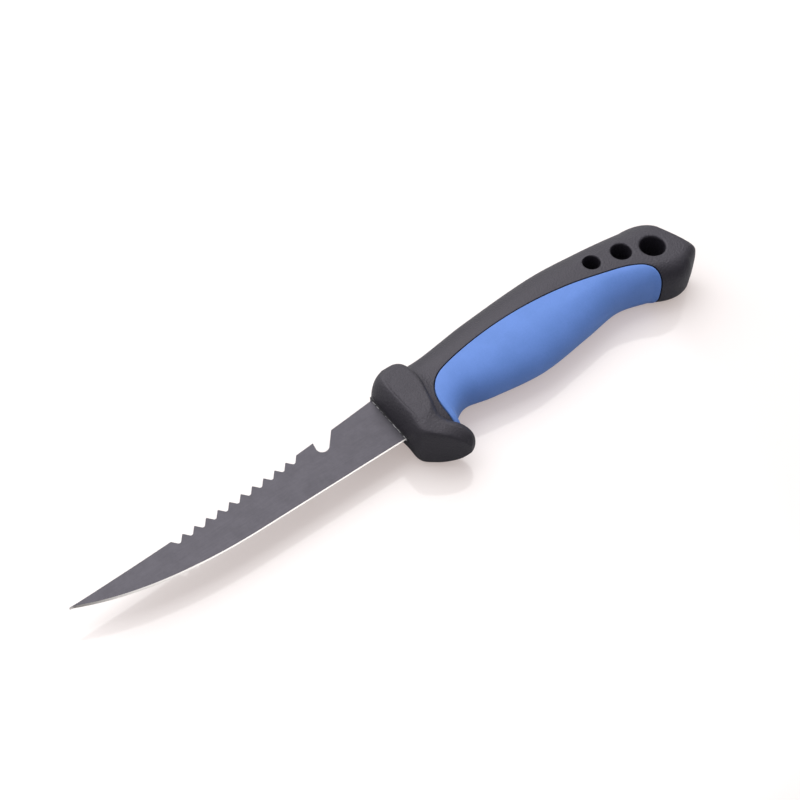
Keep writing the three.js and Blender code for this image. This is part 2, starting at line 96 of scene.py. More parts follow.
# Guard and its mouth
SIDE_REACH = 9.5
GUARD_DEPTH = 14.4
HUMP_RISE = 13.6
HUMP_BACK = 6.4
CHIN_DROP = 14.0
QUILLON_DROP = 25.0
QUILLON_BACK = 13.0
QUILLON_REACH = 16.3
CHOIL_BACK = 11.2
CHOIL_DROP = 11.0
GUARD_SQUARENESS = 4.2
FACE_SQUARENESS = 10.0
CROWN_SQUARENESS = 3.0
HORN_SQUARENESS = 2.1
GUARD_CREST = 0.28
FACE_SLOPE = 2.6
FACE_FALL = 1.8
FACE_LEAD = 0.6
GUARD_EASE = 0.3
GUARD_RINGS = 150
GUARD_STEPS = 208
PARTING_WIDTH = 0.17
PARTING_DEPTH = 0.07
MOUTH_AHEAD = 2.0
PASSAGE_DEPTH = 8.0
POCKET_WALL = 0.96
POCKET_DEPTH = 1.5

# Handle and its core
HANDLE_LENGTH = 123.4
HANDLE_START = 9.2
HANDLE_SQUARENESS = 2.4
BELLY_SQUARENESS = 2.1
BUTT_SQUARENESS = 3.2
BUTT_ROUND = 9.0
BUTT_START = HANDLE_LENGTH - BUTT_ROUND
BUTT_HALF = 10.4
BUTT_DROP = 8.4
PALM_FROM, PALM_TO = 25.0, 50.0
WAIST = 89.6
HANDLE_EASE = 0.9
HANDLE_STATIONS = 270
HANDLE_STEPS = 161
HANDLE_CUT = 12.0
NECK_FLARE = 0.7
NECK_SWEEP = 4.0
NECK_SINK = 0.8
CORE_LIP = 0.22
WALL_STEP = 0.03
TENON = ((7.0, -6.0, -4.5), (16.3, 8.0, 4.5))

# Grip and its keys
GRIP_THICKNESS = 2.2
GRIP_PROUD = 0.2
GRIP_GROOVE = 0.28
GRIP_LIP = 0.4
GRIP_EASE = 0.5
KEYS = ((46.0, -6.0), (87.9, -4.0))
KEY_RADIUS = 1.7
KEY_HALF = 7.4

# Lanyard holes as their places and radii
HOLES = ((87.9, 4.9, 2.95), (99.0, 2.5, 3.45), (109.1, -2.0, 4.3))
HOLE_RIM = 0.9
HOLE_FLARE = 0.16
BORE_LENGTH = 23.0
RIM_TURN = 0.94
RIM_SLOPE = 2.75

# Camera, light and colour, with places in metres
CAMERA_LENS = 68.67
CAMERA_EYE = (-0.1746, -0.2226, 0.3955)
CAMERA_TARGET = (0.0075, 0.0149, -0.0018)
LAMP_PLACE = (0.04, 0.48, 0.74)
LAMP_TARGET = (0.0, 0.0, 0.01)
LAMP_SIZE = (1.2, 1.0)
LAMP_WATTS = 9.0
TABLE_HALF = 4.0
GLOW_FROM, GLOW_TO = 0.22, 0.55
NEAR_GLOW = (0.375, 0.318, 0.298, 1.0)
FAR_GLOW = (0.98, 0.98, 0.98, 1.0)
BRIGHT_SIDE = (0.0, -0.6, -0.8)
FILL_DIM, FILL_RISE = 0.6, 0.15
GLOSS_DIM, GLOSS_RISE = 0.12, 0.88
NO_LIGHT = (0.0, 0.0, 0.0, 1.0)
GLOSS_TINT = (0.95, 0.9, 1.0, 1.0)


# Camera at the photograph's viewing angle
def aim(thing, place, target):
    """Sets a camera or a lamp at a place, towards a target."""
    thing.location = place
    thing.rotation_euler = (Vector(target) - Vector(place)).to_track_quat("-Z", "Y").to_euler()


def set_camera():
    data = bpy.data.cameras.new("photo_camera")
    data.sensor_width = 36.0
    data.lens = CAMERA_LENS
    data.clip_start = 0.01
    camera = bpy.data.objects.new("photo_camera", data)
    scene.collection.objects.link(camera)
    aim(camera, CAMERA_EYE, CAMERA_TARGET)
    scene.camera = camera


set_camera()


# Node trees
class Wire:
    """A socket of a node tree, with sums that make nodes."""

    def __init__(self, tree, socket):
        self.tree = tree
        self.socket = socket

    @classmethod
    def node(cls, tree, kind, settings=None, sockets=None, out=0):
        """A node by its type, its settings and the values or links of its sockets."""
        made = tree.nodes.new(kind)
        for name, value in (settings or {}).items():
            setattr(made, name, value)
        for name, value in (sockets or {}).items():
            if isinstance(value, Wire):
                tree.links.new(value.socket, made.inputs[name])
            else:
                made.inputs[name].default_value = value
        return cls(tree, made.outputs[out])

    @staticmethod
    def maths(tree, operation, *terms):
        return Wire.node(tree, "ShaderNodeMath", {"operation": operation}, dict(enumerate(terms)))

    def done(self, operation, *others):
        """The outcome of an operation on this wire and others."""
        return Wire.maths(self.tree, operation, self, *others)

    def __add__(self, other):
        return self.done("ADD", other)

    __radd__ = __add__

    def __sub__(self, other):
        return self.done("SUBTRACT", other)

    def __rsub__(self, other):
        return Wire.maths(self.tree, "SUBTRACT", other, self)

    def __mul__(self, other):
        return self.done("MULTIPLY", other)

    __rmul__ = __mul__

    def __truediv__(self, other):
        return self.done("DIVIDE", other)

    def __rtruediv__(self, other):
        return Wire.maths(self.tree, "DIVIDE", other, self)

    def __pow__(self, other):
        return self.done("POWER", other)

    def __abs__(self):
        return self.done("ABSOLUTE")

    def between(self, low, high):
        """0 below low, 1 above high and smooth in between."""
        sockets = {"Value": self, "From Min": low, "From Max": high}
        settings = {"interpolation_type": "SMOOTHSTEP"}
        return Wire.node(self.tree, "ShaderNodeMapRange", settings, sockets)


# Finishes
def new_finish(name, **constants):
    """A material with its shader's constant sockets set."""
    finish = bpy.data.materials.new(name)
    finish.use_nodes = True
    shader = finish.node_tree.nodes["Principled BSDF"]
    for socket, value in constants.items():
        shader.inputs[socket.replace("_", " ")].default_value = value
    return finish, finish.node_tree, shader


def feed(tree, shader, **sockets):
    """Links wires to the shader's varying sockets."""
    for socket, wire in sockets.items():
        tree.links.new(wire.socket, shader.inputs[socket.replace("_", " ")])


def stretched(tree, scale):
    """Object coordinates scaled along each axis."""
    place = Wire.node(tree, "ShaderNodeTexCoord", out=3)
    return Wire.node(tree, "ShaderNodeMapping", None, {"Vector": place, "Scale": scale})


def cloud(tree, size, detail=2.0, rough=0.5, stretch=(1.0, 1.0, 1.0)):
    """Noise with features of about one size in millimetres, drawn out along the axes."""
    scale = tuple(1.0 / (size * MM * s) for s in stretch)
    sockets = {"Vector": stretched(tree, scale), "Scale": 1.0, "Detail": detail, "Roughness": rough}
    return Wire.node(tree, "ShaderNodeTexNoise", None, sockets)


def blended(tree, share, low, high):
    """A colour between two, by a share."""
    return Wire.node(tree, "ShaderNodeMix", {"data_type": "RGBA"}, {0: share, 6: low, 7: high}, out=2)


def relief(tree, height, depth):
    """A bump of a depth in millimetres."""
    sockets = {"Height": height, "Distance": depth * MM, "Strength": 1.0}
    return Wire.node(tree, "ShaderNodeBump", None, sockets)


def coated_steel():
    finish, tree, shader = new_finish("coated_steel", Metallic=0.9, Specular_IOR_Level=0.5)
    brushing = cloud(tree, 0.12, 3.0, 0.6, (60.0, 1.0, 1.0))
    patches = cloud(tree, 5.0, 4.0, 0.6)
    grain = cloud(tree, 0.09, 1.0)
    specks = cloud(tree, 0.9, 4.0, 0.7)
    tone = (brushing * 0.45 + patches * 0.35 + specks * 0.2).between(0.32, 0.68)
    colour = blended(tree, tone, (0.0525, 0.0495, 0.0575, 1.0), (0.074, 0.0697, 0.081, 1.0))
    roughness = 0.36 + brushing * 0.1 + patches * 0.05
    normal = relief(tree, grain * 0.6 + brushing * 0.8, 0.004)
    feed(tree, shader, Base_Color=colour, Roughness=roughness, Normal=normal)
    return finish


def ground_steel():
    finish, tree, shader = new_finish("ground_steel", Metallic=1.0)
    scratches = cloud(tree, 0.06, 2.0, 0.6, (1.0, 30.0, 30.0))
    patches = cloud(tree, 3.0)
    colour = blended(tree, scratches, (0.74, 0.7, 0.675, 1.0), (0.92, 0.88, 0.85, 1.0))
    feed(tree, shader, Base_Color=colour, Roughness=0.24 + scratches * 0.12 + patches * 0.06)
    return finish


def drawn_steel():
    finish, tree, shader = new_finish("drawn_steel", Metallic=1.0)
    lines = cloud(tree, 0.08, 2.0, 0.6, (1.0, 1.0, 40.0))
    colour = blended(tree, lines, (0.45, 0.45, 0.47, 1.0), (0.56, 0.56, 0.58, 1.0))
    feed(tree, shader, Base_Color=colour, Roughness=0.3 + lines * 0.15)
    return finish


def black_rubber():
    finish, tree, shader = new_finish("black_rubber", Specular_IOR_Level=0.61, Specular_Tint=GLOSS_TINT)
    grain = cloud(tree, 0.6, 3.0, 0.65)
    patches = cloud(tree, 4.0, 3.0)
    dust = cloud(tree, 0.5, 4.0, 0.7).between(0.55, 0.75)
    tone = patches * 0.7 + dust * 0.3
    colour = blended(tree, tone, (0.0095, 0.0085, 0.012, 1.0), (0.0155, 0.014, 0.0195, 1.0))
    normal = relief(tree, grain, 0.26)
    feed(tree, shader, Base_Color=colour, Roughness=0.45 + patches * 0.1 + grain * 0.06, Normal=normal)
    return finish


def seal_rubber():
    finish, tree, shader = new_finish("seal_rubber", Specular_IOR_Level=0.5)
    # Painted highlight: a broken light-grey streak along the seal's crest, where the rubber is also made
    # a little glossier.
    lip = Wire.node(tree, "ShaderNodeAttribute", {"attribute_name": "lip"}, out="Fac")
    broken = cloud(tree, 1.5, 3.0, 0.6).between(0.4, 0.6)
    colour = blended(tree, lip * broken, (0.014, 0.0125, 0.016, 1.0), (0.8, 0.79, 0.8, 1.0))
    feed(tree, shader, Base_Color=colour, Roughness=0.5 - lip * 0.15)
    return finish


def black_plastic():
    finish, tree, shader = new_finish("black_plastic", Specular_IOR_Level=0.5, Specular_Tint=GLOSS_TINT)
    cells = {"Vector": stretched(tree, (1 / MM,) * 3), "Scale": 1.8}
    sparks = Wire.node(tree, "ShaderNodeTexVoronoi", {"feature": "SMOOTH_F1"}, cells)
    patches = cloud(tree, 6.0, 3.0)
    colour = blended(tree, patches, (0.011, 0.01, 0.014, 1.0), (0.0165, 0.015, 0.021, 1.0))
    normal = relief(tree, sparks, 0.13)
    feed(tree, shader, Base_Color=colour, Roughness=0.44 + patches * 0.1, Normal=normal)
    return finish


def blue_rubber():
    sheen = {"Sheen_Weight": 0.2, "Sheen_Roughness": 0.45, "Sheen_Tint": (0.6, 0.75, 1.0, 1.0)}
    finish, tree, shader = new_finish("blue_rubber", Specular_IOR_Level=0.35, **sheen)
    grain = cloud(tree, 0.14, 2.0, 0.6)
    patches = cloud(tree, 7.0, 3.0)
    specks = cloud(tree, 0.6, 3.0, 0.6)
    tone = (patches * 0.6 + specks * 0.4).between(0.3, 0.7)
    colour = blended(tree, tone, (0.092, 0.194, 0.51, 1.0), (0.11, 0.22, 0.57, 1.0))
    normal = relief(tree, grain, 0.022)
    feed(tree, shader, Base_Color=colour, Roughness=0.55 + patches * 0.1 + grain * 0.05, Normal=normal)
    return finish


COATED = coated_steel()
GROUND = ground_steel()
DRAWN = drawn_steel()
RUBBER = black_rubber()
SEAL = seal_rubber()
PLASTIC = black_plastic()
BLUE = blue_rubber()


# Lines and sections
def through(points, steps=24):
    """A smooth line through points."""
    p = np.array(points, float)
    q = np.vstack([p[:1], p, p[-1:]])
    t = np.linspace(0, 1, steps, endpoint=False)[:, None]
    spans = []
    for a, b, c, d in zip(q[:-3], q[1:-2], q[2:-1], q[3:]):
        m, n = (c - a) / 2, (d - b) / 2
        spans.append((2 * b - 2 * c + m + n) * t**3 + (3 * c - 3 * b - 2 * m - n) * t**2 + m * t + b)
    return np.vstack([*spans, p[-1:]])


def turned(a, corner, b, steps=24):
    """A line from a to b that turns at a corner."""
    t = np.linspace(0, 1, steps)[:, None]
    a, corner, b = (np.array(p, float) for p in (a, corner, b))
    return (1 - t) ** 2 * a + 2 * t * (1 - t) * corner + t**2 * b


def read(line, along, at):
    """The other coordinate of a line at places along one."""
    order = np.maximum.accumulate(line[:, along])
    return np.interp(at, order, line[:, 1 - along])


def eased(count):
    """Places from 0 to 1, closer together at both ends."""
    return (1 - np.cos(np.pi * (np.arange(count) + 0.5) / count)) / 2


def eased_step(value, low, high):
    """0 below low, 1 above high and smooth in between."""
    t = np.clip((value - low) / (high - low), 0, 1)
    return t * t * (3 - 2 * t)


def smooth_min(a, b, reach):
    """The smaller of two values, with a rounded change over."""
    h = np.maximum(reach - np.abs(a - b), 0) / reach
    return np.minimum(a, b) - h**3 * reach / 6


def rounded(value, power):
    """A sine or a cosine of a squared-off round."""
    return np.sign(value) * np.abs(value) ** (2 / power)


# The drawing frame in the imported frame
def drawn_origin():
    blade_low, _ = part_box("blade")
    guard_low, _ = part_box("guard")
    return np.array([blade_low.x / MM + BLADE_LENGTH, guard_low.y / MM + QUILLON_DROP, SIDE_REACH])


ORIGIN = drawn_origin()


def placed(points):
    """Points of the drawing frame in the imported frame, in metres."""
    return (np.asarray(points, float) + ORIGIN) * MM


# Meshes
def new_object(name, points, faces, finishes=(), place=True):
    """An object from points in the drawing frame, or as they are without a place."""
    mesh = bpy.data.meshes.new(name)
    mesh.from_pydata((placed(points) if place else np.asarray(points)).tolist(), [], faces)
    for finish in finishes:
        mesh.materials.append(finish)
    thing = bpy.data.objects.new(name, mesh)
    scene.collection.objects.link(thing)
    return thing


def outward(thing):
    """The object with all its faces turned outwards."""
    bm = bmesh.new()
    bm.from_mesh(thing.data)
    bmesh.ops.recalc_face_normals(bm, faces=bm.faces[:])
    bm.to_mesh(thing.data)
    bm.free()
    return thing


def smoothed(thing, degrees):
    """Smooth shading that keeps edges sharper than an angle."""
    thing.data.shade_smooth()
    thing.data.set_sharp_from_angle(angle=math.radians(degrees))
    return thing


def plain(thing):
    """The object's evaluated shape as its own plain mesh, without modifiers."""
    shape = bpy.data.meshes.new_from_object(thing.evaluated_get(bpy.context.evaluated_depsgraph_get()))
    thing.modifiers.clear()
    old = thing.data
    thing.data = shape
    bpy.data.meshes.remove(old)
    shape.name = thing.name
    return thing


def points_of(mesh):
    flat = np.zeros(len(mesh.vertices) * 3)
    mesh.vertices.foreach_get("co", flat)
    return flat.reshape(-1, 3)


def set_in_place(thing):
    """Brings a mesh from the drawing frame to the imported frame."""
    thing.data.vertices.foreach_set("co", placed(points_of(thing.data)).ravel())
    thing.data.update()
    return thing


def mark(thing, name, values):
    """A value at each point of a mesh."""
    attribute = thing.data.attributes.new(name, "FLOAT", "POINT")
    attribute.data.foreach_set("value", np.asarray(values, np.float32))


def worked(thing, *steps):
    """Cuts or joins tools to an object, one after the other, and removes the tools."""
    for operation, tool in steps:
        modifier = thing.modifiers.new(tool.name, "BOOLEAN")
        modifier.operation = operation
        modifier.solver = "MANIFOLD"
        modifier.object = tool
    plain(thing)
    for _, tool in steps:
        bpy.data.objects.remove(tool)
    return thing


def skin(rings, start=None, end=None):
    """Points and faces of a skin through closed rings, drawn together to points at its ends."""
    rings = np.asarray(rings, float)
    count, size = rings.shape[:2]
    points = rings.reshape(-1, 3)
    at = np.arange(count * size).reshape(count, size)
    a, b = at[:-1], np.roll(at, -1, axis=1)[:-1]
    c, d = np.roll(at, -1, axis=1)[1:], at[1:]
    faces = np.stack([a, b, c, d], axis=-1).reshape(-1, 4).tolist()
    for pole, ring in ((start, at[0]), (end, at[-1])):
        if pole is not None:
            faces += [[len(points), int(i), int(j)] for i, j in zip(ring, np.roll(ring, -1))]
            points = np.vstack([points, pole])
    return points, faces


def prism(name, outline, low, high, axis=2, place=True):
    """A closed prism from a flat outline, along one axis."""
    outline = np.asarray(outline, float)
    rings = [np.insert(outline, axis, level, axis=1) for level in (low, high)]
    points, faces = skin(rings)
    n = len(outline)
    faces += [list(range(n)), list(range(n, 2 * n))]
    return outward(new_object(name, points, faces, place=place))


def bar_tool(name, places, radius, half):
    """Round bars across the knife."""
    angle = np.linspace(0, 2 * np.pi, 48, endpoint=False)
    points, faces = np.zeros((0, 3)), []
    for x, y in places:
        ring = np.stack([x + radius * np.cos(angle), y + radius * np.sin(angle), 0 * angle], 1)
        p, f = skin([ring + [0, 0, z] for z in (-half, half)], (x, y, -half), (x, y, half))
        faces += [[i + len(points) for i in face] for face in f]
        points = np.vstack([points, p])
    return outward(new_object(name, points, faces))


def box_tool(name, low, high):
    (x0, y0, z0), (x1, y1, z1) = low, high
    return prism(name, [(x0, y0), (x1, y0), (x1, y1), (x0, y1)], z0, z1)


# Geometry node trees
def new_tree(name, inputs):
    """A tree with named inputs, its input wires and the inputs' identifiers."""
    tree = bpy.data.node_groups.new(name, "GeometryNodeTree")
    keys = {}
    for label, kind in inputs:
        socket = tree.interface.new_socket(label, in_out="INPUT", socket_type="NodeSocket" + kind)
        keys[label] = socket.identifier
    tree.interface.new_socket("Shape", in_out="OUTPUT", socket_type="NodeSocketGeometry")
    source = tree.nodes.new("NodeGroupInput")
    wires = {label: Wire(tree, source.outputs[label]) for label, _ in inputs}
    return tree, wires, keys


def close_tree(tree, shape, finish):
    """Ends a tree in real geometry with its finish."""
    real = Wire.node(tree, "GeometryNodeRealizeInstances", None, {"Geometry": shape})
    dressed = Wire.node(tree, "GeometryNodeSetMaterial", None, {"Geometry": real, "Material": finish})
    end = tree.nodes.new("NodeGroupOutput")
    tree.links.new(dressed.socket, end.inputs[0])


def grown(thing, tree, keys, **values):
    """Runs a tree on an object and keeps its result as a plain mesh."""
    modifier = thing.modifiers.new(tree.name, "NODES")
    modifier.node_group = tree
    for label, value in values.items():
        modifier[keys[label]] = value
    thing.update_tag()
    return plain(thing)


def moved(tree, shape, x, y, z):
    place = Wire.node(tree, "ShaderNodeCombineXYZ", None, {0: x, 1: y, 2: z})
    return Wire.node(tree, "GeometryNodeSetPosition", None, {"Geometry": shape, "Position": place})


def own_place(tree):
    here = Wire.node(tree, "GeometryNodeInputPosition")
    return [Wire.node(tree, "ShaderNodeSeparateXYZ", None, {0: here}, out=i) for i in range(3)]


# Blade
SPINE = turned(
    (-BLADE_LENGTH, TIP_RISE),
    (-BLADE_LENGTH / 2, SPINE_BEND),
    (0, SPINE_RISE),
    160,
)
EDGE = np.vstack(
    [
        turned((-BLADE_LENGTH, TIP_RISE), (-EDGE_TURN, -EDGE_DROP), (-EDGE_STRAIGHT, -EDGE_DROP), 160),
        [(RICASSO_DEPTH, -EDGE_DROP)],
    ]
)


def blade_ring(x):
    """One section: chamfered spine, flat sides that thin downwards, sharpened bevel."""
    top = read(SPINE, 0, x)
    bottom = read(EDGE, 0, x)
    spine_half = (SPINE_THICKNESS + (TIP_THICKNESS - SPINE_THICKNESS) * max(-x, 0) / BLADE_LENGTH) / 2
    grind = (bottom + EDGE_DROP) / (top + EDGE_DROP)
    shoulder = EDGE_THICKNESS / 2 + (spine_half - EDGE_THICKNESS / 2) * grind
    bevel = min(shoulder / math.tan(math.radians(BEVEL_ANGLE)), (top - bottom) / 2, BEVEL_WIDEST)
    chamfer = min(SPINE_CHAMFER, (top - bottom) / 8)
    side = [
        (top, spine_half - chamfer),
        (top - chamfer, spine_half),
        (bottom + bevel, shoulder),
        (bottom, EDGE_FLAT / 2),
    ]
    return [(x, y, z) for y, z in side] + [(x, y, -z) for y, z in reversed(side)]


def gullet_row():
    """The cutters of the scaler teeth, set along the spine by a node tree."""
    flank = math.radians(GULLET_FLANK)
    centre = GULLET_RADIUS - GULLET_DEPTH
    turn = np.linspace(math.pi + flank, 2 * math.pi - flank, 24)
    top = GULLET_DEPTH
    rise = top - centre + GULLET_RADIUS * math.sin(flank)
    reach = GULLET_RADIUS * math.cos(flank) + math.tan(flank) * rise
    arc = np.stack([GULLET_RADIUS * np.cos(turn), centre + GULLET_RADIUS * np.sin(turn)], 1)
    outline = np.vstack([[(-reach, top)], arc, [(reach, top)]])
    one = prism("gullet_cutter", outline, -BLADE_CUT, BLADE_CUT, place=False)

    inputs = (
        ("Cutter", "Object"),
        ("Count", "Int"),
        ("First", "Float"),
        ("Pitch", "Float"),
        ("Length", "Float"),
        ("Tip", "Float"),
        ("Bend", "Float"),
        ("Root", "Float"),
        ("Finish", "Material"),
    )
    tree, wire, keys = new_tree("gullet_row", inputs)
    places = Wire.node(tree, "GeometryNodeMeshLine", None, {"Count": wire["Count"]})
    index = Wire.node(tree, "GeometryNodeInputIndex")
    x = wire["First"] - index * wire["Pitch"]
    t = x / wire["Length"] + 1
    y = (1 - t) ** 2 * wire["Tip"] + 2 * t * (1 - t) * wire["Bend"] + t**2 * wire["Root"]
    line = moved(tree, places, x, y, 0.0)
    sockets = {"Object": wire["Cutter"], "As Instance": True}
    cutter = Wire.node(tree, "GeometryNodeObjectInfo", None, sockets, out=4)
    row = Wire.node(tree, "GeometryNodeInstanceOnPoints", None, {"Points": line, "Instance": cutter})
    close_tree(tree, row, wire["Finish"])

    row = new_object("gullet_row", [(0, 0, 0)], [], place=False)
    grown(
        row,
        tree,
        keys,
        Cutter=one,
        Count=GULLET_COUNT,
        First=-GULLET_FROM_MOUTH,
        Pitch=GULLET_PITCH,
        Length=BLADE_LENGTH,
        Tip=TIP_RISE,
        Bend=SPINE_BEND,
        Root=SPINE_RISE,
        Finish=COATED,
    )
    bpy.data.objects.remove(one)
    return set_in_place(row)


def notch_tool():
    """The cutter of the line notch: an undercut hook, a round floor and a ramp."""
    ramp = math.radians(NOTCH_RAMP)
    hook = np.array([-NOTCH_FROM_MOUTH, read(SPINE, 0, -NOTCH_FROM_MOUTH)])
    centre = np.array([NOTCH_RADIUS - NOTCH_UNDERCUT, NOTCH_RADIUS - NOTCH_DEPTH])
    turn = np.linspace(math.pi, 1.5 * math.pi + ramp, 40)
    arc = centre + NOTCH_RADIUS * np.stack([np.cos(turn), np.sin(turn)], 1)
    leave = arc[-1]
    far = (leave[0] + (NOTCH_DEPTH - leave[1]) / math.tan(ramp), NOTCH_DEPTH)
    outline = np.vstack([[(0, NOTCH_DEPTH), (0, 0)], arc, [far]]) + hook
    return prism("notch_tool", outline, -BLADE_CUT, BLADE_CUT)


def tang_outline(gap):
    """The tang in side view, grown by a gap."""
    return [
        (0, TANG_BOTTOM - gap),
        (TANG_END + gap, TANG_BOTTOM + TANG_TAPER - gap),
        (TANG_END + gap, TANG_TOP - TANG_TAPER + gap),
        (0, TANG_TOP + gap),
    ]


BEVEL_CORNERS = ({2, 3}, {3, 4}, {4, 5})


def make_blade():
    """The blade with its teeth, notch and tang, ground bare along the edge."""
    stations = np.append(-BLADE_LENGTH * (1 - eased(BLADE_STATIONS)), RICASSO_DEPTH)
    rings = np.array([blade_ring(x) for x in stations])
    count, size = rings.shape[:2]
    points, faces = skin(rings, (-BLADE_LENGTH, TIP_RISE, 0), (RICASSO_DEPTH, 0, 0))
    blade = new_object("blade_dressed", points, faces, (COATED, GROUND))
    for face in blade.data.polygons:
        corners = {i % size for i in face.vertices if i < count * size}
        if corners in BEVEL_CORNERS:
            face.material_index = 1
    outward(blade)
    worked(
        blade,
        ("UNION", prism("tang", tang_outline(0), -TANG_HALF, TANG_HALF)),
        ("DIFFERENCE", gullet_row()),
        ("DIFFERENCE", notch_tool()),
        ("DIFFERENCE", bar_tool("pin_holes", PINS, PIN_RADIUS + FIT, TANG_CUT)),
    )
    return smoothed(blade, 8)


# Guard
GUARD_FRONT = through(
    [
        (QUILLON_BACK, -QUILLON_DROP),
        (QUILLON_BACK - 3, -QUILLON_DROP + 2),
        (4.4 - FACE_LEAD, -CHIN_DROP - 4),
        (0.6 - FACE_LEAD, -CHIN_DROP),
        (-FACE_LEAD, -CHIN_DROP / 2),
        (-FACE_LEAD, SPINE_RISE / 2),
        (0.6 - FACE_LEAD, SPINE_RISE + 0.6),
        (HUMP_BACK - 4, HUMP_RISE - 1.6),
        (HUMP_BACK, HUMP_RISE),
    ]
)
GUARD_BACK = through(
    [
        (QUILLON_BACK, -QUILLON_DROP),
        (QUILLON_REACH - 0.9, -QUILLON_DROP + 1.2),
        (QUILLON_REACH, -QUILLON_DROP + 3.6),
        (QUILLON_REACH - 1, -CHOIL_DROP - 7),
        (CHOIL_BACK + 1.5, -CHOIL_DROP - 3.6),
        (CHOIL_BACK, -CHOIL_DROP),
        (GUARD_DEPTH - 1.8, -5),
        (GUARD_DEPTH - 0.2, 1),
        (GUARD_DEPTH, 7),
        (GUARD_DEPTH - 2.2, HUMP_RISE - 2.2),
        (HUMP_BACK, HUMP_RISE),
    ]
)
GUARD_HALF = through(
    [
        (1.5, -QUILLON_DROP),
        (5, -QUILLON_DROP + 2),
        (7.4, -QUILLON_DROP + 5.5),
        (SIDE_REACH - 0.9, -CHIN_DROP - 0.5),
        (SIDE_REACH + 0.5, -CHIN_DROP / 2),
        (SIDE_REACH + 0.5, SPINE_RISE / 2),
        (SIDE_REACH - 1, SPINE_RISE + 2.5),
        (1.5, HUMP_RISE),
    ]
)


def guard_angles(count):
    """Turns of the guard's section that lie evenly along it, closer on the mid plane."""
    angle = np.linspace(0, 2 * np.pi, 8001)
    across, along = (rounded(turn(angle), GUARD_SQUARENESS) for turn in (np.cos, np.sin))
    path = np.stack([SIDE_REACH * across, 7 * along], 1)
    length = np.append(0, np.cumsum(np.linalg.norm(np.diff(path, axis=0), axis=1)))
    even = np.interp(np.linspace(0, length[-1], count, endpoint=False), length, angle)
    close = (np.array([0.12, 0.3]) / SIDE_REACH) ** (FACE_SQUARENESS / 2)
    near = [1.5 * np.pi + side * np.arcsin(s) for s in close for side in (-1, 1)]
    return np.unique(np.round(np.concatenate([even, near]), 7))


def guard_rings():
    """Level sections from the horn to the hump: sloped front, crest behind it, parting line below."""
    heights = -QUILLON_DROP + (HUMP_RISE + QUILLON_DROP) * eased(GUARD_RINGS)
    angle = guard_angles(GUARD_STEPS)
    front, back = read(GUARD_FRONT, 1, heights), read(GUARD_BACK, 1, heights)
    half = read(GUARD_HALF, 1, heights)
    rise = eased_step(heights, -CHIN_DROP - 2, -CHIN_DROP / 2)
    back_power = HORN_SQUARENESS + (GUARD_SQUARENESS - HORN_SQUARENESS) * rise
    crown = eased_step(heights, SPINE_RISE - 3, HUMP_RISE)
    face_power = FACE_SQUARENESS + (CROWN_SQUARENESS - FACE_SQUARENESS) * crown
    power = np.where(angle < np.pi, back_power[:, None], face_power[:, None])
    across = half[:, None] * rounded(np.cos(angle), power)
    z = np.sign(across) * smooth_min(np.abs(across), SIDE_REACH, GUARD_EASE)
    over = rounded(np.sin(angle), power)
    x = ((front + back) / 2)[:, None] + ((back - front) / 2)[:, None] * over
    slope = FACE_SLOPE * eased_step(heights, -QUILLON_DROP + 4, -CHIN_DROP + 6)[:, None]
    x = x + slope * (np.abs(z) / SIDE_REACH) ** FACE_FALL * np.clip(-over / 0.7, 0, 1)
    reach = eased_step(heights, -CHIN_DROP + 0.4, -CHIN_DROP + 3) * (1 - eased_step(heights, 2, 9))
    behind = x - front[:, None] - slope
    hollow = eased_step(behind, 0.5, 1.5) * (1 - eased_step(behind, 1.6, 4.5))
    hollow = hollow * (np.abs(z) > SIDE_REACH - 1)
    z = z - np.sign(z) * GUARD_CREST * reach[:, None] * hollow
    below = np.clip((-CHIN_DROP - heights) / 2, 0, 1)[:, None]
    parting = np.exp(-((z / PARTING_WIDTH) ** 2)) * (over < -0.9) * below
    x = x + PARTING_DEPTH * parting
    return np.stack([x, np.broadcast_to(heights[:, None], x.shape), z], -1)


def mouth_outline(wall):
    """Blade's section in the mouth, grown by a wall with rounded corners, as (y, z)."""
    corners = [
        (SPINE_RISE, SPINE_THICKNESS / 2, 0),
        (SPINE_RISE, -SPINE_THICKNESS / 2, -90),
        (-EDGE_DROP, -EDGE_FLAT, -180),
        (-EDGE_DROP, EDGE_FLAT, -270),
    ]
    points = []
    for y, z, start in corners:
        turn = np.radians(np.linspace(90 + start, start, 7))
        points += [(y + wall * math.cos(t), z + wall * math.sin(t)) for t in turn]
    return np.array(points)


def mouth_line(wall, steps):
    """The mouth's outline with its long sides divided."""
    outline = mouth_outline(wall)
    spans = []
    for a, b in zip(outline, np.roll(outline, -1, axis=0)):
        n = steps if np.linalg.norm(b - a) > 5 else 1
        spans.append(a + (b - a) * np.linspace(0, 1, n, endpoint=False)[:, None])
    return np.vstack(spans)


def guard_form(name):
    """The guard's outer form, closed."""
    points, faces = skin(guard_rings(), (QUILLON_BACK, -QUILLON_DROP, 0), (HUMP_BACK, HUMP_RISE, 0))
    return outward(new_object(name, points, faces, (RUBBER,)))


def make_guard():
    """The guard with the mouth for the blade and its seal, and the socket for the core."""
    guard = guard_form("guard_dressed")
    low, high = np.array(TENON)
    socket = box_tool("socket", low - [FIT, FIT, FIT], high + [0, FIT, FIT])
    worked(
        guard,
        ("DIFFERENCE", prism("passage", mouth_outline(FIT), -MOUTH_AHEAD, PASSAGE_DEPTH, axis=0)),
        ("DIFFERENCE", prism("pocket", mouth_outline(POCKET_WALL), -MOUTH_AHEAD, POCKET_DEPTH, axis=0)),
        ("DIFFERENCE", socket),
    )
    return smoothed(guard, 35)
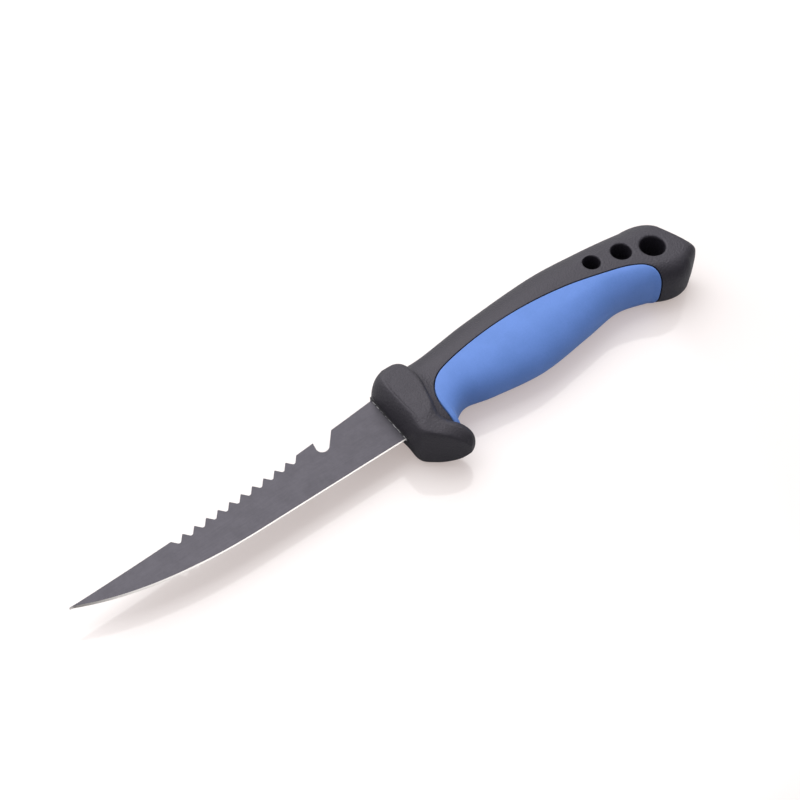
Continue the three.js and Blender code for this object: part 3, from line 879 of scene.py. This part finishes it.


# The seal's section as its distance from the blade, its place and its share in the painted highlight
# along its crest
SEAL_SECTION = (
    (0.1, 1.4, 0.0),
    (0.1, -0.8, 0.6),
    (0.13, -0.88, 1.0),
    (0.2, -0.91, 1.0),
    (0.28, -0.87, 0.7),
    (0.38, -0.76, 0.0),
    (0.55, -0.64, 0.0),
    (0.9, -0.54, 0.0),
    (0.9, 1.4, 0.0),
)


def make_seal():
    """A bead that fills the mouth round the blade, with the unevenness of moulded flash and a painted
    highlight along its crest.
    """
    rings = []
    for wall, x, _ in SEAL_SECTION:
        line = mouth_line(wall, 60)
        y = line[:, 0]
        uneven = 0.05 * np.sin(2.1 * y + 0.6) + 0.04 * np.sin(5.3 * y) + 0.03 * np.sin(11.0 * y + 2.0)
        shift = uneven * np.clip((0.2 - x) / 0.4, 0, 1)
        rings.append(np.stack([x + shift, y, line[:, 1]], 1))
    rings.append(rings[0])
    points, faces = skin(rings)
    n = len(rings[0])
    last = (len(rings) - 1) * n
    faces = [[i - last if i >= last else i for i in face] for face in faces]
    seal = outward(new_object("mouth_seal_dressed", points[:last], faces, (SEAL,)))
    # Each point's share in the painted highlight along the crest.
    mark(seal, "lip", np.repeat([lip for _, _, lip in SEAL_SECTION], n))
    return smoothed(seal, 60)


# Handle
BACK = np.vstack(
    [
        through(
            [
                (HANDLE_START, 12.3),
                (20.5, 11.8),
                (40.25, 14.3),
                (69, 16.2),
                (WAIST, 14.7),
                (106.2, 12.75),
            ]
        ),
        turned((106.2, 12.75), (113.8, 12.9), (116.5, 8.9)),
        turned((120.5, -3.8), (HANDLE_LENGTH - 0.3, -7.8), (HANDLE_LENGTH, -BUTT_DROP)),
    ]
)
BELLY = np.vstack(
    [
        [(HANDLE_START, -17.4)],
        through(
            [
                (14.7, -17),
                (16.9, -12.9),
                (23.5, -9.9),
                (33.75, -12.1),
                (52, -14.5),
                (72.8, -12.15),
                (WAIST, -9.7),
                (101.9, -12.0),
            ]
        ),
        turned((101.9, -12.0), (109.4, -17.4), (115.6, -14.8)),
        turned((120.2, -11.8), (HANDLE_LENGTH, -9.6), (HANDLE_LENGTH, -BUTT_DROP)),
    ]
)
PLAN = np.vstack(
    [
        through([(HANDLE_START, 7.4), (23.5, 7.8), (52, 9.2), (WAIST, 10.0), (BUTT_START, BUTT_HALF)]),
        turned((BUTT_START, BUTT_HALF), (HANDLE_LENGTH - 1.5, BUTT_HALF), (HANDLE_LENGTH, 3.0)),
    ]
)
GRIP_LINE = through(
    [
        (12.9, -13),
        (12.8, -10),
        (13.1, -7.6),
        (13.9, -5.2),
        (15.3, -2.9),
        (17.5, -0.7),
        (20.6, 1.0),
        (25.5, 2.3),
        (32, 3.4),
        (39, 4.15),
        (47, 4.55),
        (56, 4.45),
        (66, 3.65),
        (76, 2.15),
        (86, -0.25),
        (95, -2.85),
        (100.4, -5.5),
        (103, -8.2),
        (104, -11),
        (104.1, -15.5),
    ],
    10,
)
GRIP_OUTLINE = np.vstack([[(12.9, -32)], GRIP_LINE, [(104.1, -32)]])


def handle_skin():
    """The moulded handle as one open skin, its sections set out by a node tree."""
    inputs = (
        ("Stations", "Geometry"),
        ("Ring", "Int"),
        ("Back Power", "Float"),
        ("Side", "Float"),
        ("Ease", "Float"),
        ("Finish", "Material"),
    )
    tree, wire, keys = new_tree("handle_skin", inputs)
    size = {"Geometry": wire["Stations"]}
    count = Wire.node(tree, "GeometryNodeAttributeDomainSize", {"component": "MESH"}, size)
    sockets = {"Size X": 1.0, "Size Y": 1.0, "Vertices X": count, "Vertices Y": wire["Ring"]}
    sheet = Wire.node(tree, "GeometryNodeMeshGrid", None, sockets)
    u, v, _ = own_place(tree)
    station = ((u + 0.5) * (count - 1)).done("ROUND")

    def drawn(name):
        value = Wire.node(tree, "GeometryNodeInputNamedAttribute", {"data_type": "FLOAT"}, {"Name": name})
        sockets = {"Geometry": wire["Stations"], "Value": value, "Index": station}
        settings = {"data_type": "FLOAT", "domain": "POINT"}
        return Wire.node(tree, "GeometryNodeSampleIndex", settings, sockets)

    angle = (v + 0.5) * (2 * math.pi)
    names = ("back", "belly", "half", "along", "square")
    back, belly, half, along, square = (drawn(name) for name in names)
    cosine = angle.done("COSINE")
    low = cosine.done("LESS_THAN", 0.0)
    power = 2 / (low * square + (1 - low) * wire["Back Power"])

    def share(turn):
        return turn.done("SIGN") * abs(turn) ** power

    across = share(cosine)
    over = share(angle.done("SINE"))
    y = (back + belly) / 2 + (back - belly) / 2 * across
    reach = half * over
    flat = abs(reach).done("SMOOTH_MIN", wire["Side"], wire["Ease"])
    z = flat * reach.done("SIGN")
    set_out = moved(tree, sheet, along, y, z)
    sockets = {"Geometry": set_out, "Distance": 1e-4}
    joined = Wire.node(tree, "GeometryNodeMergeByDistance", None, sockets)
    close_tree(tree, joined, wire["Finish"])

    x = HANDLE_START + (HANDLE_LENGTH - HANDLE_START) * eased(HANDLE_STATIONS)
    stations = new_object("handle_skin", np.stack([x, 0 * x, 0 * x], 1), [], place=False)
    rear = eased_step(x, WAIST - 8, BUTT_START)
    palm = eased_step(x, PALM_FROM, PALM_TO)
    square = HANDLE_SQUARENESS + (BELLY_SQUARENESS - HANDLE_SQUARENESS) * palm
    square = square + (BUTT_SQUARENESS - BELLY_SQUARENESS) * rear
    lines = {
        "along": x,
        "back": read(BACK, 0, x),
        "belly": read(BELLY, 0, x),
        "half": read(PLAN, 0, x),
        "square": square,
    }
    for name, values in lines.items():
        mark(stations, name, values)
    values = {
        "Ring": HANDLE_STEPS,
        "Back Power": HANDLE_SQUARENESS,
        "Side": SIDE_REACH,
        "Ease": HANDLE_EASE,
        "Finish": PLASTIC,
    }
    return grown(stations, tree, keys, **values)


def closed_skin():
    """The skin's points and triangles, with its two ends closed."""
    thing = handle_skin()
    mesh = thing.data
    mesh.calc_loop_triangles()
    faces = np.zeros(len(mesh.loop_triangles) * 3, int)
    mesh.loop_triangles.foreach_get("vertices", faces)
    faces = faces.reshape(-1, 3)
    points = points_of(mesh)
    bpy.data.objects.remove(thing)

    def rim(near):
        ids = np.nonzero(np.abs(points[:, 0] - near) < 1e-3)[0]
        mid = points[ids].mean(0)
        return ids[np.argsort(np.arctan2(points[ids, 2], points[ids, 1] - mid[1]))]

    front = rim(points[:, 0].min())
    half = len(front) // 2
    top = int(np.argmax(points[front, 1]))
    front = np.roll(front, -top)
    caps = []
    for j in range(half):
        a, b, c, d = front[j], front[j + 1], front[-j - 1], front[-j]
        caps += [(a, b, c)] if j == 0 else [(a, b, c), (a, c, d)]
    butt = rim(points[:, 0].max())
    pole = len(points)
    points = np.vstack([points, (HANDLE_LENGTH, -BUTT_DROP, 0)])
    caps += [(a, b, pole) for a, b in zip(butt, np.roll(butt, -1))]
    return points, np.vstack([faces, [t for t in caps if len(set(t)) == 3]])


def turned_out(points, faces):
    """Triangles that all face outwards."""
    mesh = bpy.data.meshes.new("check")
    mesh.from_pydata(points.tolist(), [], faces.tolist())
    bm = bmesh.new()
    bm.from_mesh(mesh)
    bmesh.ops.recalc_face_normals(bm, faces=bm.faces[:])
    bm.faces.ensure_lookup_table()
    faces = np.array([[v.index for v in f.verts] for f in bm.faces])
    bm.free()
    bpy.data.meshes.remove(mesh)
    return faces


def point_normals(points, faces):
    """Directions out of the skin at its points."""
    a, b, c = (points[faces[:, i]] for i in range(3))
    across = np.cross(b - a, c - a)
    normals = np.zeros_like(points)
    for i in range(3):
        np.add.at(normals, faces[:, i], across)
    return normals / np.maximum(np.linalg.norm(normals, axis=1, keepdims=True), 1e-12)


def grip_depth(points):
    """How far each point lies inside the grip's outline in side view, below zero outside."""
    p = points[:, :2]
    a, b = GRIP_OUTLINE, np.roll(GRIP_OUTLINE, -1, axis=0)
    nearest = np.full(len(p), 1e9)
    inside = np.zeros(len(p), bool)
    for s, e in zip(a, b):
        way = e - s
        t = np.clip((p - s) @ way / (way @ way), 0, 1)
        nearest = np.minimum(nearest, np.linalg.norm(p - s - t[:, None] * way, axis=1))
        crosses = (s[1] > p[:, 1]) != (e[1] > p[:, 1])
        if e[1] != s[1]:
            inside ^= crosses & (p[:, 0] < (e[0] - s[0]) * (p[:, 1] - s[1]) / (e[1] - s[1]) + s[0])
    return np.where(inside, nearest, -nearest)


def split(data, faces, level):
    """Cuts triangles along one contour of the last column."""
    side = data[:, -1] - level
    near = np.abs(side) < 0.004
    data[near, -1] = level
    side = np.where(near, 0, side)
    signs = np.sign(side)[faces]
    mixed = (signs.min(1) < 0) & (signs.max(1) > 0)
    kept = faces[~mixed].tolist()
    added, found = [], {}

    def crossing(i, j):
        key = (min(i, j), max(i, j))
        if key not in found:
            t = side[key[0]] / (side[key[0]] - side[key[1]])
            row = data[key[0]] + t * (data[key[1]] - data[key[0]])
            row[-1] = level
            found[key] = len(data) + len(added)
            added.append(row)
        return found[key]

    for face in faces[mixed]:
        s = side[face]
        if (s == 0).any():
            k = int(np.nonzero(s == 0)[0][0])
            i, j, m = face[k], face[(k + 1) % 3], face[(k + 2) % 3]
            n = crossing(j, m)
            kept += [[i, j, n], [i, n, m]]
            continue
        alone = 1 if (s > 0).sum() == 1 else -1
        k = int(np.nonzero(np.sign(s) == alone)[0][0])
        i, j, m = face[k], face[(k + 1) % 3], face[(k + 2) % 3]
        p, q = crossing(i, j), crossing(i, m)
        kept += [[i, p, q], [p, j, m], [p, m, q]]
    return np.vstack([data, added]) if added else data, np.array(kept)


def flared(points, normals):
    """The skin swept up to the guard in a soft hollow."""
    behind = points[:, 0] - read(GUARD_BACK, 1, points[:, 1]) + NECK_SINK
    rise = NECK_FLARE * np.clip(1 - behind / NECK_SWEEP, 0, 1) ** 2
    return points + normals * rise[:, None]


def quarter_round(into, radius):
    """Fall of a rounded edge at a distance into it, from 0 to the radius."""
    s = np.clip(into, 0, radius)
    return radius - np.sqrt(np.maximum(radius**2 - s**2, 0))


def lanyard_bores():
    """Cutters of the lanyard holes with flared rims, set at the holes by a node tree."""
    inputs = (
        ("Places", "Geometry"),
        ("Side", "Float"),
        ("Rim", "Float"),
        ("Flare", "Float"),
        ("Finish", "Material"),
    )
    tree, wire, keys = new_tree("lanyard_bores", inputs)
    bar = {"Vertices": 96, "Side Segments": 72, "Fill Segments": 1, "Radius": 1.0, "Depth": BORE_LENGTH}
    spool = Wire.node(tree, "GeometryNodeMeshCylinder", None, bar)
    x, y, z = own_place(tree)
    into = ((abs(z) - wire["Side"]) / wire["Rim"] + 1).done("MAXIMUM", 0.0)
    curve = into.done("MINIMUM", RIM_TURN)
    past = into - curve
    fall = 1 - (1 - curve * curve) ** 0.5 + past * RIM_SLOPE
    wide = 1 + fall * wire["Flare"]
    flared = moved(tree, spool, x * wide, y * wide, z)
    settings = {"data_type": "FLOAT"}
    radius = Wire.node(tree, "GeometryNodeInputNamedAttribute", settings, {"Name": "bore"})
    scale = Wire.node(tree, "ShaderNodeCombineXYZ", None, {0: radius, 1: radius, 2: 1.0})
    sockets = {"Points": wire["Places"], "Instance": flared, "Scale": scale}
    close_tree(tree, Wire.node(tree, "GeometryNodeInstanceOnPoints", None, sockets), wire["Finish"])

    bores = new_object("lanyard_bores", [(x, y, 0) for x, y, _ in HOLES], [], place=False)
    mark(bores, "bore", [radius for _, _, radius in HOLES])
    grown(bores, tree, keys, Side=SIDE_REACH, Rim=HOLE_RIM, Flare=HOLE_FLARE, Finish=PLASTIC)
    return set_in_place(bores)


def make_handle():
    """The core with its recess and groove, and the grip that lies in it."""
    points, faces = closed_skin()
    faces = turned_out(points, faces)
    data = np.hstack([points, point_normals(points, faces), grip_depth(points)[:, None]])
    core_steps = [-CORE_LIP * s for s in (1, 0.8, 0.55, 0.25)] + [0, WALL_STEP]
    grip_steps = [GRIP_GROOVE + GRIP_LIP * s for s in (0, 0.08, 0.25, 0.5, 0.75, 1)]
    for level in core_steps + grip_steps:
        data, faces = split(data, faces, level)
    normals, depth = data[:, 3:6], data[:, 6]
    normals = normals / np.linalg.norm(normals, axis=1, keepdims=True)
    skin_points = flared(data[:, :3], normals)

    fall = np.where(depth > WALL_STEP / 2, GRIP_THICKNESS, quarter_round(depth + CORE_LIP, CORE_LIP))
    core_points = skin_points - normals * fall[:, None]
    core = outward(new_object("handle_core_dressed", core_points, faces.tolist(), (PLASTIC,)))
    low, high = TENON
    worked(
        core,
        ("DIFFERENCE", guard_form("guard_for_core")),
        ("UNION", box_tool("tenon", low, high)),
        ("DIFFERENCE", prism("tang_slot", tang_outline(FIT), -TANG_HALF - FIT, TANG_HALF + FIT)),
        ("DIFFERENCE", bar_tool("pin_bores", PINS, PIN_RADIUS + FIT, HANDLE_CUT)),
        ("DIFFERENCE", bar_tool("key_bores", KEYS, KEY_RADIUS + FIT, HANDLE_CUT)),
        ("DIFFERENCE", lanyard_bores()),
    )
    smoothed(core, 50)

    inside = (depth[faces] >= GRIP_GROOVE - 1e-6).all(1)
    patch = faces[inside]
    used, patch = np.unique(patch, return_inverse=True)
    patch = patch.reshape(-1, 3)
    base, out, into = skin_points[used], normals[used], depth[used] - GRIP_GROOVE
    height = GRIP_PROUD - quarter_round(GRIP_LIP - into, GRIP_LIP)
    outer = base + out * height[:, None]
    outer[:, 2] = np.sign(outer[:, 2]) * smooth_min(np.abs(outer[:, 2]), SIDE_REACH, GRIP_EASE)
    inner = base - out * (GRIP_THICKNESS - FIT)
    n = len(used)
    edges = np.vstack([patch[:, [0, 1]], patch[:, [1, 2]], patch[:, [2, 0]]])
    _, first, counts = np.unique(np.sort(edges, axis=1), axis=0, return_index=True, return_counts=True)
    walls = [[b, a, a + n, b + n] for a, b in edges[first[counts == 1]].tolist()]
    shell = patch.tolist() + (patch[:, ::-1] + n).tolist() + walls
    grip = outward(new_object("grip_dressed", np.vstack([outer, inner]), shell, (BLUE,)))
    worked(
        grip,
        ("DIFFERENCE", guard_form("guard_for_grip")),
        ("UNION", bar_tool("keys", KEYS, KEY_RADIUS, KEY_HALF)),
    )
    return core, smoothed(grip, 50)


# Pieces
blade = make_blade()
guard = make_guard()
seal = make_seal()
core, grip = make_handle()
DRESSED = (
    (blade, "blade", "blade_steel"),
    (guard, "guard", "guard_rubber"),
    (seal, "mouth_seal", "guard_rubber"),
    (core, "handle_core", "core_plastic"),
    (grip, "grip", "grip_rubber"),
)
for piece, node, slot in DRESSED:
    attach(piece, "root")
    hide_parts(node)
for name in ("tang_pin_front", "tang_pin_rear"):
    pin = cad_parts[name]
    pin.data.materials.clear()
    pin.data.materials.append(DRAWN)


# Table, light and backdrop
def looked_at(tree):
    """One for rays from the eye and for those that gloss or glass sends on, else nothing."""
    camera, gloss, clear = (
        Wire.node(tree, "ShaderNodeLightPath", out=name)
        for name in ("Is Camera Ray", "Is Glossy Ray", "Is Transmission Ray")
    )
    return camera.done("MAXIMUM", gloss).done("MAXIMUM", clear)


def lay_table():
    """A white glossy table that keeps soft shadows and runs out into a white background."""
    constants = {"Base_Color": (0.52, 0.52, 0.52, 1.0), "Specular_IOR_Level": 0.4, "IOR": 1.5}
    finish, tree, shader = new_finish("white_table", Emission_Strength=1.0, **constants)
    sheen = cloud(tree, 40.0, 2.0)
    place = Wire.node(tree, "ShaderNodeTexCoord", out=3)
    length = Wire.node(tree, "ShaderNodeVectorMath", {"operation": "LENGTH"}, {0: place}, 1)
    camera = Wire.node(tree, "ShaderNodeLightPath", out="Is Camera Ray")
    near = blended(tree, camera, NO_LIGHT, NEAR_GLOW)
    far = blended(tree, looked_at(tree), NO_LIGHT, FAR_GLOW)
    glow = blended(tree, length.between(GLOW_FROM, GLOW_TO), near, far)
    feed(tree, shader, Roughness=0.07 + sheen * 0.03, Emission_Color=glow)
    corners = [(x * TABLE_HALF, y * TABLE_HALF, 0) for x, y in ((-1, -1), (1, -1), (1, 1), (-1, 1))]
    table = new_object("table", corners, [(0, 1, 2, 3)], (finish,), place=False)


def light_world():
    """White all round to the eye and to gloss, with a dim side in front of the table."""
    world = bpy.data.worlds.new("studio")
    scene.world = world
    world.use_nodes = True
    tree = world.node_tree
    tree.nodes.clear()
    way = Wire.node(tree, "ShaderNodeTexCoord", out="Normal")
    sockets = {0: way, 1: BRIGHT_SIDE}
    rise = Wire.node(tree, "ShaderNodeVectorMath", {"operation": "DOT_PRODUCT"}, sockets, 1)
    share = rise.between(-0.2, 0.45)
    camera = Wire.node(tree, "ShaderNodeLightPath", out="Is Camera Ray")
    fill = {"Color": (0.98, 0.97, 1.0, 1.0), "Strength": share * FILL_RISE + FILL_DIM}
    strength = camera.done("MAXIMUM", share * GLOSS_RISE + GLOSS_DIM)
    white = {"Color": (1.0, 1.0, 1.0, 1.0), "Strength": strength}
    lights = [Wire.node(tree, "ShaderNodeBackground", None, light) for light in (fill, white)]
    sockets = {0: looked_at(tree), 1: lights[0], 2: lights[1]}
    both = Wire.node(tree, "ShaderNodeMixShader", None, sockets)
    end = tree.nodes.new("ShaderNodeOutputWorld")
    tree.links.new(both.socket, end.inputs["Surface"])


def hang_lamp():
    data = bpy.data.lights.new("softbox", "AREA")
    data.shape = "RECTANGLE"
    data.size, data.size_y = LAMP_SIZE
    data.energy = LAMP_WATTS
    lamp = bpy.data.objects.new("softbox", data)
    scene.collection.objects.link(lamp)
    aim(lamp, LAMP_PLACE, LAMP_TARGET)


lay_table()
light_world()
hang_lamp()
